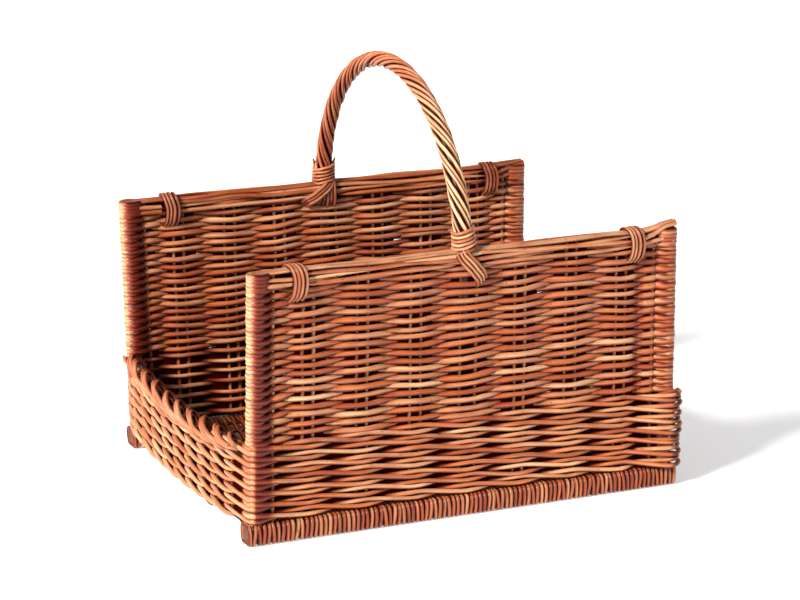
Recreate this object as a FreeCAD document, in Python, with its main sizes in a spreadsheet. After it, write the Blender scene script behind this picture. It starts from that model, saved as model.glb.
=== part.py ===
"""Wicker log basket: a woven base on two wrapped foot rails, a low woven tray, two tall
woven side panels between corner posts, and a roped bow handle from panel to panel.

Frame: millimetres, +Z up, X along the basket, -Y is the front panel. The origin is on the
ground under the middle of the basket. Woven areas are closed slabs of the weave's true
outer shape, bored for the sticks and stakes that really run inside them.
"""

import FreeCAD, Part
import math
import os

import Sketcher
from FreeCAD import Placement, Rotation, Vector

SIZES = [
    ("rail_length", 506, "foot rail, end to end"),
    ("rail_height", 23, "foot rail over its wrapping"),
    ("rail_width", 26, "foot rail over its wrapping, front to back"),
    ("rail_outer", 194, "outer face of a foot rail from the middle plane"),
    ("rail_round", 6, "rounding along the rail's four long edges"),
    ("rail_stick", 14, "diameter of the stick inside a foot rail"),
    ("side_plane", 182, "stakes of a side panel from the middle plane"),
    ("rim_height", 292.25, "top of the rim rods above the ground"),
    ("post_place", 239.5, "corner post from the middle, along the basket"),
    ("post_size", 14, "corner post diameter"),
    ("post_top", 290, "top of a corner post"),
    ("post_wrap", 21, "corner post over its wrapping"),
    ("wrap_top", 288, "upper end of a post's wrapping"),
    ("tenon_size", 6.5, "point of a corner post, driven into the rail"),
    ("tenon_foot", 5, "lowest point of the tenons"),
    ("tray_top", 107, "where the tray weave of a long side ends"),
    ("tray_corner", 256, "outer corner of the tray along the basket"),
    ("tray_outer", 192, "outer face of the tray's long sides"),
    ("tray_weave", 20, "thickness of the tray weave on a long side"),
    ("tray_round", 11, "rounding of the tray's outer corners"),
    ("wall_weave", 18, "thickness of an end wall"),
    ("wall_bow", 8, "how far an end wall bows out at its middle"),
    ("wall_foot", 22, "underside of the end walls"),
    ("wall_top", 96, "top of an end wall's weave"),
    ("corner_depth", 27, "tray corner around a post, along the basket"),
    ("border_size", 19, "rolled border of an end wall, diameter"),
    ("border_height", 98.5, "centre of the rolled border"),
    ("border_reach", 170.5, "end of the rolled border from the middle plane"),
    ("panel_weave", 16, "thickness of a side panel"),
    ("panel_top", 274.6, "top of the woven area of a side panel"),
    ("panel_reach", 229, "half length of the weave between wrapped posts"),
    ("bay", 61, "spacing of the stake pairs"),
    ("pair_gap", 12, "spacing of the two stakes of a pair"),
    ("middle_gap", 18, "spacing of the middle pair, either side of the handle bow"),
    ("end_stake", 222, "single stake beside each post, from the middle"),
    ("stake_size", 5.5, "stake diameter"),
    ("stake_foot", 8, "lower end of a side stake, inside the rail"),
    ("stake_top", 285.5, "upper end of a side stake, under the top rim rod"),
    ("rim_size", 6.5, "rim rod diameter"),
    ("rim_spread", 6.55, "rim rods either side of the stakes"),
    ("rim_low", 277.9, "lower pair of rim rods"),
    ("rim_mid", 284.5, "upper pair of rim rods"),
    ("base_foot", 12, "underside of the base weave"),
    ("base_top", 25, "upper side of the base weave"),
    ("base_reach", 250, "base weave before the end walls are cut from it"),
    ("stick_size", 8, "diameter of a base stick"),
    ("stick_height", 18.5, "centre of the base sticks"),
    ("stick_pitch", 36.4, "spacing of the base sticks"),
    ("stick_reach", 232, "half length of a base stick"),
    ("end_stake_side", 7.4, "end stake beside its base stick"),
    ("end_stake_bend", 10, "bend radius of an end stake"),
    ("end_stake_root", 50, "length of an end stake inside the base"),
    ("arch_radius", 182, "handle bow, centreline radius"),
    ("arch_height", 278.5, "centre of the handle arch"),
    ("arch_lean", 2.4, "lean of the arch along the basket, degrees"),
    ("bow_size", 11, "handle bow diameter"),
    ("bow_leg", 90, "straight leg of the bow inside a panel"),
    ("bow_point", 22, "pointed end of a leg"),
    ("bow_tip", 4, "diameter at the point"),
    ("rope_size", 21, "handle over its roping"),
    ("rope_start", 5, "angle of the arch where the roping starts, degrees"),
    ("collar_size", 28, "handle collar diameter"),
    ("collar_sweep", 6.6, "angle of the arch inside a collar, degrees"),
    ("tail_size", 4.2, "rod of a handle tail"),
    ("tail_pitch", 4.3, "spacing of the tail rods"),
    ("tail_gap", 0.05, "play between a tail and the rim rods"),
    ("tail_length", 42, "length of a tail rod"),
    ("tail_slope", 42, "slope of the tail rods from upright, degrees"),
    ("tail_shift", 8, "upper end of a tail from the middle of the panel"),
    ("tail_start", 290, "height of the middle of the tail's upper end"),
    ("tie_size", 4.6, "rod of a rim binding"),
    ("tie_pitch", 4.7, "spacing of the rods of a binding"),
    ("tie_place", 201, "middle of a binding from the middle of the panel"),
    ("tie_radius", 12.15, "centreline radius of a binding's rounded ends"),
    ("tie_upper", 284, "centre of a binding's upper end"),
    ("tie_lower", 270, "centre of a binding's lower end"),
]
BAYS = 8
BASE_STICKS = 9
ROD_PLACES = (-1.5, -0.5, 0.5, 1.5)  # four rods side by side, in pitches from their middle
SIDES = (("front", -1), ("back", 1))
ENDS = (("left", -1), ("right", 1))

doc = FreeCAD.newDocument("log_basket")
sheet = doc.addObject("Spreadsheet::Sheet", "Sizes")
for row, (alias, number, note) in enumerate(SIZES, start=1):
    sheet.set(f"A{row}", note)
    sheet.set(f"B{row}", str(number))
    sheet.setAlias(f"B{row}", alias)
doc.recompute()

nodes = []


def size(alias):
    """A driving dimension as a number."""
    return float(sheet.get(alias))


def bind(thing, **expressions):
    """Binds properties to the sheet; a double underscore stands for a dot."""
    for name, expression in expressions.items():
        thing.setExpression(name.replace("__", "."), expression)
    return thing


def place(thing, x="0", y="0", z="0"):
    """Binds a position to the sheet."""
    return bind(thing, Placement__Base__x=x, Placement__Base__y=y, Placement__Base__z=z)


def turn(thing, axis, degrees):
    """Sets a rotation about the thing's own origin."""
    thing.Placement = Placement(Vector(0, 0, 0), Rotation(axis, degrees))
    return thing


def node(thing, name):
    """Marks an object as a sub-part; its label is the name of its file."""
    thing.Label = name
    nodes.append(thing)
    return thing


def cylinder(name, diameter, height, x="0", y="0", z="0", axis=None, degrees=0):
    made = doc.addObject("Part::Cylinder", name)
    if axis is not None:
        turn(made, axis, degrees)
    bind(made, Radius=f"({diameter}) / 2", Height=height)
    return place(made, x, y, z)


def box(name, length, width, height, x, y, z):
    made = doc.addObject("Part::Box", name)
    bind(made, Length=length, Width=width, Height=height)
    return place(made, x, y, z)


def torus(name, radius, diameter, sweep, rotation, x="0", y="0", z="0"):
    """A bent round rod: part of a ring, turned from the XY plane by rotation."""
    made = doc.addObject("Part::Torus", name)
    made.Placement = Placement(Vector(0, 0, 0), rotation)
    bind(made, Radius1=radius, Radius2=f"({diameter}) / 2", Angle3=sweep)
    return place(made, x, y, z)


def group(name, things):
    made = doc.addObject("Part::Compound", name)
    made.Links = things
    return made


def fuse(name, things):
    made = doc.addObject("Part::MultiFuse", name)
    made.Shapes = things
    return made


def cut(name, base, *tools):
    """The base without its tools, one cut after another."""
    for number, tool in enumerate(tools, start=1):
        made = doc.addObject("Part::Cut", f"{name}_cut{number}")
        made.Base = base
        made.Tool = tool
        base = made
    return base


def plane(body, role):
    return next(f for f in body.Origin.OriginFeatures if f.Role == role)


def outline(sketch, corners, arcs=()):
    """Closes an outline through corners, each a pair of sheet expressions. arcs maps the
    number of a side to the expression of its radius and the point that it bulges towards."""
    arcs = dict(arcs)
    points = [Vector(number_of(x), number_of(y), 0) for x, y in corners]
    for i, start in enumerate(points):
        end = points[(i + 1) % len(points)]
        if i in arcs:
            through = Vector(*[number_of(e) for e in arcs[i][1]], 0)
            if (through - start).cross(end - through).z < 0:
                start, end = end, start
            sketch.addGeometry(Part.Arc(start, through, end))
        else:
            sketch.addGeometry(Part.LineSegment(start, end))
    for i, (x, y) in enumerate(corners):
        at = start_of(sketch.Geometry[i], points[i])
        before = (i - 1) % len(corners)
        last = 3 - start_of(sketch.Geometry[before], points[before])
        sketch.addConstraint(Sketcher.Constraint("Coincident", before, last, i, at))
        for kind, expression, number in (("DistanceX", x, points[i].x), ("DistanceY", y, points[i].y)):
            made = sketch.addConstraint(Sketcher.Constraint(kind, -1, 1, i, at, number))
            sketch.setExpression(f"Constraints[{made}]", expression)
    for i, (radius, _) in arcs.items():
        number = sketch.Geometry[i].Radius
        made = sketch.addConstraint(Sketcher.Constraint("Radius", i, number))
        sketch.setExpression(f"Constraints[{made}]", radius)


def start_of(curve, point):
    """Which end of a sketch curve, 1 or 2, lies on the point."""
    return 1 if curve.StartPoint.distanceToPoint(point) < 1e-6 else 2


def number_of(expression):
    """The value of a sheet expression made of sizes, numbers and arithmetic."""
    return float(sheet.evalExpression(expression.replace("Sizes.", "")))


def pad(body, sketch, length, midplane=False):
    made = body.newObject("PartDesign::Pad", "Pad")
    made.Profile = sketch
    made.Midplane = midplane
    return bind(made, Length=length)


def side_stakes(name, sign):
    """Every stake of a long side: pairs at the bays, and one single stake beside each post."""
    y = f"{sign} * Sizes.side_plane"
    places = [f"{end} * Sizes.end_stake" for end in (-1, 1)]
    for bay in range(1, BAYS):
        gap = "Sizes.middle_gap" if bay == BAYS // 2 else "Sizes.pair_gap"
        places += [f"{bay - BAYS // 2} * Sizes.bay + {end} * {gap} / 2" for end in (-1, 1)]
    rods = [
        cylinder(
            f"{name}_stake", "Sizes.stake_size", "Sizes.stake_top - Sizes.stake_foot",
            x, y, "Sizes.stake_foot",
        )
        for x in places
    ]
    return node(group(f"{name}_stakes", rods), f"{name}_stakes")


def corner_post(side, sign, end, hand):
    """A post with the tenon that pins it into the foot rail."""
    x, y = f"{hand} * Sizes.post_place", f"{sign} * Sizes.side_plane"
    shaft = cylinder(
        "post_shaft", "Sizes.post_size", "Sizes.post_top - Sizes.rail_height",
        x, y, "Sizes.rail_height",
    )
    tenon = cylinder(
        "post_tenon", "Sizes.tenon_size", "Sizes.rail_height - Sizes.tenon_foot",
        x, y, "Sizes.tenon_foot",
    )
    return node(fuse(f"{side}_{end}_post", [shaft, tenon]), f"{side}_{end}_post")


def post_wrapping(side, sign, end, hand, post):
    """The weavers that turn round a post between the tray and the rim."""
    x, y = f"{hand} * Sizes.post_place", f"{sign} * Sizes.side_plane"
    sleeve = cylinder(
        "wrap_sleeve", "Sizes.post_wrap", "Sizes.wrap_top - Sizes.wall_top",
        x, y, "Sizes.wall_top",
    )
    name = f"{side}_{end}_post_wrapping"
    return node(cut(name, sleeve, post), name)


def foot_rail(side, sign, pinned):
    """A stick and its close wrapping, both pierced by the stakes and tenons."""
    stick = cylinder(
        f"{side}_rail_stick", "Sizes.rail_stick", "Sizes.rail_length",
        "-Sizes.rail_length / 2", f"{sign} * (Sizes.rail_outer - Sizes.rail_width / 2)",
        "Sizes.rail_height / 2", Vector(0, 1, 0), 90,
    )
    body = doc.addObject("PartDesign::Body", f"{side}_rail_wrap")
    profile = body.newObject("Sketcher::SketchObject", "RailProfile")
    profile.AttachmentSupport = (plane(body, "YZ_Plane"), [""])
    profile.MapMode = "FlatFace"
    inner = f"{sign} * (Sizes.rail_outer - Sizes.rail_width)"
    outer = f"{sign} * Sizes.rail_outer"
    low, high = ("0", "Sizes.rail_height")
    outline(profile, [(inner, low), (outer, low), (outer, high), (inner, high)])
    block = pad(body, profile, "Sizes.rail_length", midplane=True)
    doc.recompute()
    long_edges = [
        f"Edge{i}" for i, e in enumerate(block.Shape.Edges, start=1) if e.Length > size("rail_length") - 1
    ]
    rounded = body.newObject("PartDesign::Fillet", "RailRounding")
    rounded.Base = (block, long_edges)
    bind(rounded, Radius="Sizes.rail_round")
    bore = body.newObject("Sketcher::SketchObject", "RailBore")
    bore.AttachmentSupport = (plane(body, "YZ_Plane"), [""])
    bore.MapMode = "FlatFace"
    middle = Vector(sign * (size("rail_outer") - size("rail_width") / 2), size("rail_height") / 2, 0)
    bore.addGeometry(Part.Circle(middle, Vector(0, 0, 1), size("rail_stick") / 2))
    bore.addConstraint(Sketcher.Constraint("DistanceX", -1, 1, 0, 3, middle.x))
    bore.setExpression("Constraints[0]", f"{sign} * (Sizes.rail_outer - Sizes.rail_width / 2)")
    bore.addConstraint(Sketcher.Constraint("DistanceY", -1, 1, 0, 3, middle.y))
    bore.setExpression("Constraints[1]", "Sizes.rail_height / 2")
    bore.addConstraint(Sketcher.Constraint("Radius", 0, size("rail_stick") / 2))
    bore.setExpression("Constraints[2]", "Sizes.rail_stick / 2")
    hollow = body.newObject("PartDesign::Pocket", "RailHollow")
    hollow.Profile = bore
    hollow.Type = "ThroughAll"
    hollow.Midplane = True
    body.Tip = hollow
    node(cut(f"{side}_foot_stick", stick, *pinned), f"{side}_foot_stick")
    node(cut(f"{side}_foot_wrapping", body, *pinned), f"{side}_foot_wrapping")


def wall_bow_radius(reach):
    """Radius of the arc over a half chord of an end wall, as a sheet expression."""
    return f"(({reach} * {reach} + Sizes.wall_bow * Sizes.wall_bow) / (2 * Sizes.wall_bow))"


def end_wall_body(end, hand):
    """The bowed end wall with the two corners that turn round the posts, seen from above."""
    corner, outer = f"{hand} * Sizes.tray_corner", "Sizes.tray_outer"
    inner = f"{hand} * (Sizes.tray_corner - Sizes.wall_weave)"
    deep = f"{hand} * (Sizes.tray_corner - Sizes.corner_depth)"
    near = "(Sizes.tray_outer - Sizes.tray_weave)"
    corners = [
        (deep, f"-{outer}"), (corner, f"-{outer}"), (corner, outer), (deep, outer),
        (deep, near), (inner, near), (inner, f"-{near}"), (deep, f"-{near}"),
    ]
    arcs = {
        1: (wall_bow_radius(outer), (f"{corner} + {hand} * Sizes.wall_bow", "0")),
        5: (wall_bow_radius(near), (f"{inner} + {hand} * Sizes.wall_bow", "0")),
    }
    body = doc.addObject("PartDesign::Body", f"{end}_wall_body")
    plan = body.newObject("Sketcher::SketchObject", "WallPlan")
    plan.AttachmentSupport = (plane(body, "XY_Plane"), [""])
    plan.MapMode = "FlatFace"
    outline(plan, corners, arcs)
    block = pad(body, plan, "Sizes.wall_top - Sizes.wall_foot")
    doc.recompute()
    uprights = [
        f"Edge{i}" for i, e in enumerate(block.Shape.Edges, start=1)
        if e.BoundBox.ZLength > 1 and abs(abs(e.BoundBox.XMin) - size("tray_corner")) < 0.01
    ]
    rounded = body.newObject("PartDesign::Fillet", "CornerRounding")
    rounded.Base = (block, uprights)
    bind(rounded, Radius="Sizes.tray_round")
    body.Tip = rounded
    return place(body, z="Sizes.wall_foot")


def wall_bow_at(y):
    """How far an end wall stands out past its corners at y, from its arc."""
    radius = number_of(wall_bow_radius("Sizes.tray_outer"))
    return math.sqrt(radius * radius - y * y) - (radius - size("wall_bow"))


def end_stakes(end, hand):
    """Upright stakes of an end wall, each bent under and pushed in beside its base stick."""
    made = []
    for number in range(BASE_STICKS):
        row = number - BASE_STICKS // 2
        y = f"{row} * Sizes.stick_pitch + Sizes.end_stake_side"
        out = wall_bow_at(number_of(y))
        x = f"{hand} * (Sizes.tray_corner - Sizes.wall_weave / 2 + {out:.3f})"
        bend = "Sizes.end_stake_bend"
        upright = cylinder(
            "end_upright", "Sizes.stake_size", f"Sizes.border_height - Sizes.stick_height - {bend}",
            x, y, f"Sizes.stick_height + {bend}",
        )
        facing = Rotation(Vector(0, 0, 1), 180 if hand > 0 else 0)
        quarter = torus(
            "end_bend", bend, "Sizes.stake_size", "90",
            facing * Rotation(Vector(1, 0, 0), 90) * Rotation(Vector(0, 0, 1), 180),
            f"{x} - {hand} * {bend}", y, f"Sizes.stick_height + {bend}",
        )
        root = cylinder(
            "end_root", "Sizes.stake_size", "Sizes.end_stake_root",
            f"{x} - {hand} * {bend}", y, "Sizes.stick_height", Vector(0, 1, 0), -90 * hand,
        )
        made.append(fuse(f"{end}_end_stake", [upright, quarter, root]))
    return node(group(f"{end}_end_stakes", made), f"{end}_end_stakes")


def end_border(end, hand, stakes):
    """The rolled border on an end wall, a round bundle along the wall's own bow."""
    bow_radius = wall_bow_radius("Sizes.tray_outer")
    half_sweep = math.degrees(math.asin(size("border_reach") / number_of(bow_radius)))
    start = (0 if hand > 0 else 180) - half_sweep
    sweep = f"2 * asin(Sizes.border_reach / ({bow_radius}))"
    roll = torus(
        f"{end}_border_roll", bow_radius, "Sizes.border_size", sweep, Rotation(Vector(0, 0, 1), start),
        f"{hand} * (Sizes.tray_corner - Sizes.wall_weave / 2 + Sizes.wall_bow - {bow_radius})",
        z="Sizes.border_height",
    )
    return node(cut(f"{end}_end_border", roll, stakes), f"{end}_end_border")


def rim_rods(side, sign, bow):
    """Five long rods that close a panel's top edge: two each side of the stakes, one on top."""
    rods = []
    for spread in (-1, 1):
        for height in ("Sizes.rim_low", "Sizes.rim_mid"):
            y = f"{sign} * Sizes.side_plane + {spread} * Sizes.rim_spread"
            rods.append((y, height))
    rods.append((f"{sign} * Sizes.side_plane", "Sizes.rim_height - Sizes.rim_size / 2"))
    made = [
        cylinder(
            f"{side}_rim_rod", "Sizes.rim_size", "2 * Sizes.panel_reach",
            "-Sizes.panel_reach", y, z, Vector(0, 1, 0), 90,
        )
        for y, z in rods
    ]
    return cut(f"{side}_rim_rods", group(f"{side}_rim_bundle", made), bow)


def rim_binding(side, sign, end, hand):
    """Four rods looped over the rim and through the weave below it."""
    y = f"{sign} * Sizes.side_plane"
    rings = []
    for number in ROD_PLACES:
        x = f"{hand} * Sizes.tie_place + {number} * Sizes.tie_pitch"
        upper = torus(
            "tie_upper_end", "Sizes.tie_radius", "Sizes.tie_size", "180",
            Rotation(Vector(0, 0, 1), 90) * Rotation(Vector(1, 0, 0), 90), x, y, "Sizes.tie_upper",
        )
        lower = torus(
            "tie_lower_end", "Sizes.tie_radius", "Sizes.tie_size", "180",
            Rotation(Vector(0, 0, 1), 90) * Rotation(Vector(1, 0, 0), -90), x, y, "Sizes.tie_lower",
        )
        legs = [
            cylinder(
                "tie_leg", "Sizes.tie_size", "Sizes.tie_upper - Sizes.tie_lower",
                x, f"{y} + {face} * Sizes.tie_radius", "Sizes.tie_lower",
            )
            for face in (-1, 1)
        ]
        rings.append(fuse(f"{side}_{end}_tie", [upper, lower, *legs]))
    name = f"{side}_{end}_rim_binding"
    return node(group(name, rings), name)


def arch_rotation(start):
    """Turns a ring into the handle's plane, from start degrees above the back panel, leaning."""
    upright = Rotation(Vector(0, 0, 1), 90) * Rotation(Vector(1, 0, 0), 90) * Rotation(Vector(0, 0, 1), start)
    return Rotation(Vector(0, 1, 0), -size("arch_lean")) * upright


def handle_bow():
    """The bent stick inside the handle, with two straight pointed legs inside the panels."""
    pieces = [
        torus(
            "bow_arch", "Sizes.arch_radius", "Sizes.bow_size", "180", arch_rotation(0),
            z="Sizes.arch_height",
        )
    ]
    for sign in (-1, 1):
        y = f"{sign} * Sizes.arch_radius"
        knuckle = doc.addObject("Part::Sphere", "bow_knuckle")
        pieces.append(place(bind(knuckle, Radius="Sizes.bow_size / 2"), y=y, z="Sizes.arch_height"))
        foot = "Sizes.arch_height - Sizes.bow_leg"
        pieces.append(cylinder("bow_leg", "Sizes.bow_size", "Sizes.bow_leg", y=y, z=foot))
        point = doc.addObject("Part::Cone", "bow_point")
        bind(point, Radius1="Sizes.bow_tip / 2", Radius2="Sizes.bow_size / 2", Height="Sizes.bow_point")
        pieces.append(place(point, y=y, z=f"{foot} - Sizes.bow_point"))
    return node(fuse("handle_bow", pieces), "handle_bow")


def handle_sleeve(name, outer, inner, start, sweep):
    """A length of the handle between two angles of its arch, hollow inside."""
    shell = [
        torus(
            f"{name}_ring", "Sizes.arch_radius", diameter, sweep, arch_rotation(start),
            z="Sizes.arch_height",
        )
        for diameter in (outer, inner)
    ]
    return node(cut(name, *shell), name)


def handle_tails(side, sign, face, hand, neighbours):
    """Four rod ends that run slantwise from a collar down over the rim into the weave."""
    slope = math.radians(size("tail_slope"))
    reach = "(Sizes.rim_spread + Sizes.rim_size / 2 + Sizes.tail_size / 2 + Sizes.tail_gap)"
    y = f"{sign} * Sizes.side_plane + {face} * {reach}"
    rods = []
    for number in ROD_PLACES:
        rod = doc.addObject("Part::Cylinder", f"{side}_tail")
        turn(rod, Vector(0, 1, 0), 180 - hand * size("tail_slope"))
        bind(rod, Radius="Sizes.tail_size / 2", Height="Sizes.tail_length")
        x = f"{number * math.cos(slope):.5f} * Sizes.tail_pitch - {hand} * Sizes.tail_shift"
        z = f"Sizes.tail_start + {hand * number * math.sin(slope):.5f} * Sizes.tail_pitch"
        rods.append(place(rod, x, y, z))
    name = f"handle_{side}_tails"
    return node(cut(name, group(f"{name}_rods", rods), *neighbours), name)


def slab(name, half_length, plane_y, thickness, low, high):
    """A woven area as a flat closed slab."""
    return box(
        name, f"2 * {half_length}", thickness, f"{high} - {low}",
        f"-{half_length}", f"{plane_y} - {thickness} / 2", low,
    )


def build():
    bow = handle_bow()
    far = "180 - 2 * Sizes.rope_start"
    roping = handle_sleeve("handle_roping", "Sizes.rope_size", "Sizes.bow_size", size("rope_start"), far)
    collars = {}
    for side, sign in SIDES:
        start = size("rope_start") if sign > 0 else 180 - size("rope_start") - size("collar_sweep")
        collars[side] = handle_sleeve(
            f"handle_{side}_collar", "Sizes.collar_size", "Sizes.rope_size", start, "Sizes.collar_sweep"
        )
    handle_tails("front", -1, -1, 1, (roping, collars["front"]))
    handle_tails("back", 1, -1, -1, (roping, collars["back"]))

    end_stake_groups, borders, walls = [], [], {}
    for end, hand in ENDS:
        end_stake_groups.append(end_stakes(end, hand))
        borders.append(end_border(end, hand, end_stake_groups[-1]))
        walls[end] = end_wall_body(end, hand)

    posts, rail_wraps = [], {}
    for side, sign in SIDES:
        stakes = side_stakes(side, sign)
        own_posts = []
        for end, hand in ENDS:
            post = corner_post(side, sign, end, hand)
            post_wrapping(side, sign, end, hand, post)
            own_posts.append(post)
        posts += own_posts
        foot_rail(side, sign, [stakes, *own_posts])
        rail_wraps[side] = box(
            f"{side}_rail_space", "2 * Sizes.tray_corner", "Sizes.rail_width", "Sizes.rail_height",
            "-Sizes.tray_corner",
            f"{sign} * (Sizes.rail_outer - Sizes.rail_width / 2) - Sizes.rail_width / 2", "0",
        )
        bindings = [rim_binding(side, sign, end, hand) for end, hand in ENDS]
        node(rim_rods(side, sign, bow), f"{side}_rim_rods")
        plane_y = f"{sign} * Sizes.side_plane"
        tray = slab(
            f"{side}_tray_slab", "Sizes.panel_reach", plane_y, "Sizes.tray_weave",
            "Sizes.rail_height", "Sizes.tray_top",
        )
        panel = slab(
            f"{side}_panel_slab", "Sizes.panel_reach", plane_y, "Sizes.panel_weave",
            "Sizes.tray_top", "Sizes.panel_top",
        )
        node(cut(f"{side}_tray_weave", tray, stakes), f"{side}_tray_weave")
        node(cut(f"{side}_panel_weave", panel, stakes, bow, *bindings), f"{side}_panel_weave")

    for number, (end, _) in enumerate(ENDS):
        tools = [*posts, *rail_wraps.values(), end_stake_groups[number], borders[number]]
        node(cut(f"{end}_wall_weave", walls[end], *tools), f"{end}_wall_weave")

    sticks = []
    for number in range(BASE_STICKS):
        y = f"{number - BASE_STICKS // 2} * Sizes.stick_pitch"
        stick = cylinder(
            "base_stick", "Sizes.stick_size", "2 * Sizes.stick_reach",
            "-Sizes.stick_reach", y, "Sizes.stick_height", Vector(0, 1, 0), 90,
        )
        sticks.append(node(stick, f"base_stick_{number + 1}"))
    mat = box(
        "base_mat", "2 * Sizes.base_reach", "2 * (Sizes.rail_outer - Sizes.rail_width)",
        "Sizes.base_top - Sizes.base_foot", "-Sizes.base_reach",
        "-(Sizes.rail_outer - Sizes.rail_width)", "Sizes.base_foot",
    )
    node(cut("base_weave", mat, *walls.values(), *sticks, *end_stake_groups), "base_weave")


def check_and_write():
    """Stops at any failed object or unsound sub-part, then writes one STEP per sub-part."""
    doc.recompute()
    failed = [o.Label for o in doc.Objects if {"Invalid", "Error"} & set(o.State)]
    if failed:
        raise SystemExit(f"failed objects: {failed}")
    for thing in nodes:
        shape = thing.Shape
        if shape.isNull() or not shape.isValid() or not shape.Solids:
            raise SystemExit(f"sub-part {thing.Label} is not a sound solid")
    os.makedirs("parts", exist_ok=True)
    for thing in nodes:
        thing.Shape.exportStep(f"parts/{thing.Label}.step")
        print(f"{thing.Label}: {len(thing.Shape.Solids)} solids, {thing.Shape.Volume / 1000:.1f} cm3")
    print(len(nodes), "nodes")


build()
check_and_write()
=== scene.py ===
"""Looks of the wicker log basket: every rod of the weave, the borders, the bindings and the
roped handle is a real tube, laid where the CAD frame says. Lengths are millimetres until a
mesh is made."""

import math

import bpy
import numpy as np
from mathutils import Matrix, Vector


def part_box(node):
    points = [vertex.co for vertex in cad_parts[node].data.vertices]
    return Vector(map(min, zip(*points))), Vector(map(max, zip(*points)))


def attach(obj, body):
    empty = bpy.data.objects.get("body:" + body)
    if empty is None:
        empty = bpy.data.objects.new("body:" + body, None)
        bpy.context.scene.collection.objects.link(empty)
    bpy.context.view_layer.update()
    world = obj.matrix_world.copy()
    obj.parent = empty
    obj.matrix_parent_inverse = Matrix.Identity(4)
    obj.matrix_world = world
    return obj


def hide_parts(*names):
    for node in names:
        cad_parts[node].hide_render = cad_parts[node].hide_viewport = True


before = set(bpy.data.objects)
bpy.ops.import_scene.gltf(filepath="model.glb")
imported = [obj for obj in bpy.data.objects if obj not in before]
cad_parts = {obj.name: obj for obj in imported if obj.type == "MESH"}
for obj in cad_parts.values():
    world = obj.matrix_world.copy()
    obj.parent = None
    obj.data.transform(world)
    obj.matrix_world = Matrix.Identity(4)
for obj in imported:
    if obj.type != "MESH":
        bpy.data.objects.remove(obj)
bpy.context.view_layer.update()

MM = 0.001
X, Y, Z = np.eye(3)
BODY = "root"
SIDES = (("front", -1), ("back", 1))
ENDS = (("left", -1), ("right", 1))

# Stakes: the bays between pairs on a side, half the gap of a pair, and radii
BAY = 61.0
BAYS = 8
PAIR_HALF = 6.0
HANDLE_PAIR_HALF = 9.0
STAKE = 2.75
END_STAKES = 9
WALL_BOW = 8.0
# Weavers of the panels and walers of the tray: radii, and heights of their rows
WEAVER = 2.75
ROW = 4.5
WALER = 2.62
ROUND = 12.2
ROUNDS = 6
# Weavers of the base, which also wrap the foot rails
WRAP_PITCH = 5.25
WRAPPER = 2.62
FILLER = 2.6
# Rods of the rims, bindings, borders and handle
RIM_ROD = 2.45
BINDING_ROD = 2.15
BORDER_ROD = 2.3
ROPE_ROD = 2.0
COLLAR_ROD = 1.9
TAIL_ROD = 1.95


def box_mm(node):
    low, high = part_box(node)
    return np.array(low) / MM, np.array(high) / MM


def middle_mm(node):
    low, high = box_mm(node)
    return (low + high) / 2


SIDE = -middle_mm("front_stakes")[1]
POST = middle_mm("front_right_post")[0]
POST_RADIUS = (box_mm("front_right_post")[1] - box_mm("front_right_post")[0])[0] / 2
END_STAKE = box_mm("front_stakes")[1][0] - STAKE
TRAY_TOP = box_mm("front_tray_weave")[1][2]
PANEL_TOP = box_mm("front_panel_weave")[1][2]
RIM_TOP = box_mm("front_rim_rods")[1][2]
RAIL_LOW, RAIL_HIGH = box_mm("front_foot_wrapping")
WALL_FOOT = box_mm("left_wall_weave")[0][2]
WALL_PLANE = box_mm("right_wall_weave")[1][0] - WALL_BOW - 9.0
TRAY_DEPTH = box_mm("right_wall_weave")[1][1]
WALL_RADIUS = (TRAY_DEPTH**2 + WALL_BOW**2) / (2 * WALL_BOW)
FIRST_ROUND = RAIL_HIGH[2] + 6.4
BORDER_LOW, BORDER_HIGH = box_mm("right_end_border")
STICK_PITCH = middle_mm("base_stick_2")[1] - middle_mm("base_stick_1")[1]
STICK_HEIGHT = middle_mm("base_stick_1")[2]
STICK = (box_mm("base_stick_1")[1] - box_mm("base_stick_1")[0])[2] / 2
ARCH_RADIUS = 182.0
ARCH_HEIGHT = 278.5
ARCH_LEAN = math.radians(2.4)
ARCH_UP = np.array([-math.sin(ARCH_LEAN), 0, math.cos(ARCH_LEAN)])
FOOT_SHIFT = 4.5
ROPE_REACH = 8.5
ROPE_LEAD = 129.0
# Where a band of redder rods crosses the front panel
RED_BAND = 203.0


# Paths


def through(points, step=3.6):
    """A smooth path through points (a centripetal Catmull-Rom curve) in even short steps."""
    p = np.asarray(points, float)
    p = np.vstack([2 * p[0] - p[1], p, 2 * p[-1] - p[-2]])
    knots = np.concatenate([[0], np.cumsum(np.sqrt(np.linalg.norm(np.diff(p, axis=0), axis=1)))])
    pieces = []
    for i in range(1, len(p) - 2):
        a, b, c, d = p[i - 1 : i + 3]
        ta, tb, tc, td = knots[i - 1 : i + 3]
        count = max(2, round(np.linalg.norm(c - b) / step))
        u = np.linspace(tb, tc, count, endpoint=False)[:, None]
        ab = ((tb - u) * a + (u - ta) * b) / (tb - ta)
        bc = ((tc - u) * b + (u - tb) * c) / (tc - tb)
        cd = ((td - u) * c + (u - tc) * d) / (td - tc)
        abc = ((tc - u) * ab + (u - ta) * bc) / (tc - ta)
        bcd = ((td - u) * bc + (u - tb) * cd) / (td - tb)
        pieces.append(((tc - u) * abc + (u - tb) * bcd) / (tc - tb))
    return np.vstack(pieces + [p[-2][None]])


def wander(draw, count, size, waves):
    """A slow random wobble along a path of count points."""
    t = np.linspace(0, 1, count)
    total = np.zeros(count)
    for wave in range(1, waves + 1):
        total += draw.normal() / wave * np.sin(math.tau * (t * wave + draw.random()))
    return total * size


HALF_LENGTH = 250
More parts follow.
